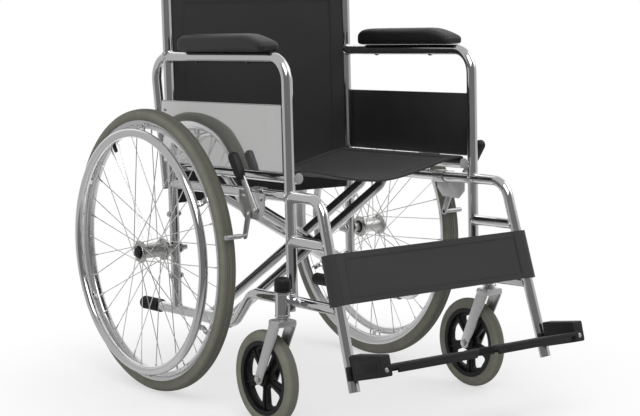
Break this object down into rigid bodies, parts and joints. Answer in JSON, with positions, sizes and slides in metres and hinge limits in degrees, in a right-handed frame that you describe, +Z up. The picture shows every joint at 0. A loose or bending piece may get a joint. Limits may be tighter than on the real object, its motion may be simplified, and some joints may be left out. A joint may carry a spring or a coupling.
{
  "type": "folding wheelchair",
  "caption": "Self-propelled folding wheelchair with chromed tube frame, sling seat and back, spoked rear wheels with handrims, swivel casters, wheel brakes and flip-up footplates.",
  "frame": {"origin": "on the floor under the middle of the chair's outline", "axes": "+Z up, the chair faces -Y, the user's left is at +X and right at -X"},
  "size_m": [0.6856, 1.0552, 0.8998],
  "materials": {
    "chrome": "bright chrome plate",
    "polished_sheet": "polished",
    "bright_steel": "bright zinc plate",
    "black_cloth": "coated woven nylon",
    "black_plastic": "moulded, satin",
    "black_rubber": "moulded",
    "grey_tyre": "moulded grey rubber",
    "black_wheel": "moulded, semi-gloss"
  },
  "bodies": {
    "right_frame": {"right_arm_tube": "chrome", "right_rear_post": "chrome", "right_back_cane": "chrome", "right_upper_rail": "chrome", "right_footrest_tube": "chrome", "right_brace_tube": "chrome", "right_lower_rail": "chrome", "right_caster_housing": "chrome", "right_caster_cap": "black_plastic", "right_side_panel": "polished_sheet", "right_arm_pad": "black_plastic", "right_push_grip": "black_rubber", "right_tip_cap": "black_rubber", "right_axle_bolt": "bright_steel", "right_brake_bracket": "chrome", "right_footplate_hinge": "black_plastic", "back": "black_cloth", "calf_strap": "black_cloth"},
    "cross_a": {"cross_a": "chrome", "cross_pivot_bolt": "black_plastic", "left_seat_rail": "chrome", "seat": "black_cloth"},
    "cross_b": {"cross_b": "chrome", "right_seat_rail": "chrome"},
    "left_frame": {"left_arm_tube": "chrome", "left_rear_post": "chrome", "left_back_cane": "chrome", "left_upper_rail": "chrome", "left_footrest_tube": "chrome", "left_brace_tube": "chrome", "left_lower_rail": "chrome", "left_caster_housing": "chrome", "left_caster_cap": "black_plastic", "left_side_panel": "polished_sheet", "left_arm_pad": "black_plastic", "left_push_grip": "black_rubber", "left_tip_cap": "black_rubber", "left_axle_bolt": "bright_steel", "left_brake_bracket": "chrome", "left_footplate_hinge": "black_plastic"},
    "right_wheel": {"right_tyre": "grey_tyre", "right_rim": "chrome", "right_handrim": "chrome", "right_hub_spokes": "bright_steel"},
    "right_caster": {"right_caster_fork": "chrome"},
    "right_caster_wheel": {"right_caster_wheel": "black_wheel", "right_caster_tyre": "grey_tyre"},
    "right_brake_lever": {"right_brake_lever": "black_plastic"},
    "right_brake_shoe": {"right_brake_shoe": "bright_steel"},
    "right_footplate": {"right_footplate": "black_plastic"},
    "left_wheel": {"left_tyre": "grey_tyre", "left_rim": "chrome", "left_handrim": "chrome", "left_hub_spokes": "bright_steel"},
    "left_caster": {"left_caster_fork": "chrome"},
    "left_caster_wheel": {"left_caster_wheel": "black_wheel", "left_caster_tyre": "grey_tyre"},
    "left_brake_lever": {"left_brake_lever": "black_plastic"},
    "left_brake_shoe": {"left_brake_shoe": "bright_steel"},
    "left_footplate": {"left_footplate": "black_plastic"}
  },
  "joints": [
    {"name": "fold", "type": "hinge", "parent": "right_frame", "child": "cross_a", "pos_m": [-0.24, 0.21694, 0.17012], "axis": [0, -0.9991, 0.0419], "range_deg": [0, 46], "deforming": ["seat", "back", "calf_strap"]},
    {"name": "cross_pivot", "type": "hinge", "parent": "cross_a", "child": "cross_b", "pos_m": [0, 0.22301, 0.31499], "axis": [0, -0.9991, 0.0419], "range_deg": [-92, 0]},
    {"name": "left_frame_hinge", "type": "hinge", "parent": "cross_b", "child": "left_frame", "pos_m": [0.24, 0.21694, 0.17012], "axis": [0, -0.9991, 0.0419], "range_deg": [0, 46]},
    {"name": "right_footplate_flip", "type": "hinge", "parent": "right_frame", "child": "right_footplate", "pos_m": [-0.25, -0.42741, 0.15], "axis": [0, -0.9613, 0.2756], "range_deg": [0, 101.3]},
    {"name": "right_wheel_spin", "type": "hinge", "parent": "right_frame", "child": "right_wheel", "pos_m": [-0.299, 0.22259, 0.305], "axis": [1, 0, 0], "continuous": true},
    {"name": "right_caster_swivel", "type": "hinge", "parent": "right_frame", "child": "right_caster", "pos_m": [-0.274, -0.22441, 0.231], "axis": [0, 0, 1], "continuous": true},
    {"name": "right_caster_spin", "type": "hinge", "parent": "right_caster", "child": "right_caster_wheel", "pos_m": [-0.274, -0.16991, 0.0975], "axis": [1, 0, 0], "continuous": true},
    {"name": "right_brake_lever_swing", "type": "hinge", "parent": "right_frame", "child": "right_brake_lever", "pos_m": [-0.2677, -0.12241, 0.43], "axis": [1, 0, 0], "range_deg": [0, 68]},
    {"name": "right_brake_shoe_swing", "type": "hinge", "parent": "right_frame", "child": "right_brake_shoe", "pos_m": [-0.2677, -0.09941, 0.42], "axis": [1, 0, 0], "range_deg": [0, 8]},
    {"name": "left_footplate_flip", "type": "hinge", "parent": "left_frame", "child": "left_footplate", "pos_m": [0.25, -0.42741, 0.15], "axis": [0, 0.9613, -0.2756], "range_deg": [0, 101.3]},
    {"name": "left_wheel_spin", "type": "hinge", "parent": "left_frame", "child": "left_wheel", "pos_m": [0.299, 0.22259, 0.305], "axis": [1, 0, 0], "continuous": true},
    {"name": "left_caster_swivel", "type": "hinge", "parent": "left_frame", "child": "left_caster", "pos_m": [0.274, -0.22441, 0.231], "axis": [0, 0, 1], "continuous": true},
    {"name": "left_caster_spin", "type": "hinge", "parent": "left_caster", "child": "left_caster_wheel", "pos_m": [0.274, -0.16991, 0.0975], "axis": [1, 0, 0], "continuous": true},
    {"name": "left_brake_lever_swing", "type": "hinge", "parent": "left_frame", "child": "left_brake_lever", "pos_m": [0.2677, -0.12241, 0.43], "axis": [1, 0, 0], "range_deg": [-68, 0]},
    {"name": "left_brake_shoe_swing", "type": "hinge", "parent": "left_frame", "child": "left_brake_shoe", "pos_m": [0.2677, -0.09941, 0.42], "axis": [1, 0, 0], "range_deg": [-8, 0]}
  ],
  "couplings": [
    {"joint": "cross_pivot", "follows": "fold", "ratio": -2},
    {"joint": "left_frame_hinge", "follows": "fold", "ratio": 1},
    {"joint": "right_footplate_flip", "follows": "fold", "ratio": 2.2},
    {"joint": "right_brake_shoe_swing", "follows": "right_brake_lever_swing", "ratio": 0.11765},
    {"joint": "left_footplate_flip", "follows": "fold", "ratio": 2.2},
    {"joint": "left_brake_shoe_swing", "follows": "left_brake_lever_swing", "ratio": 0.11765}
  ]
}
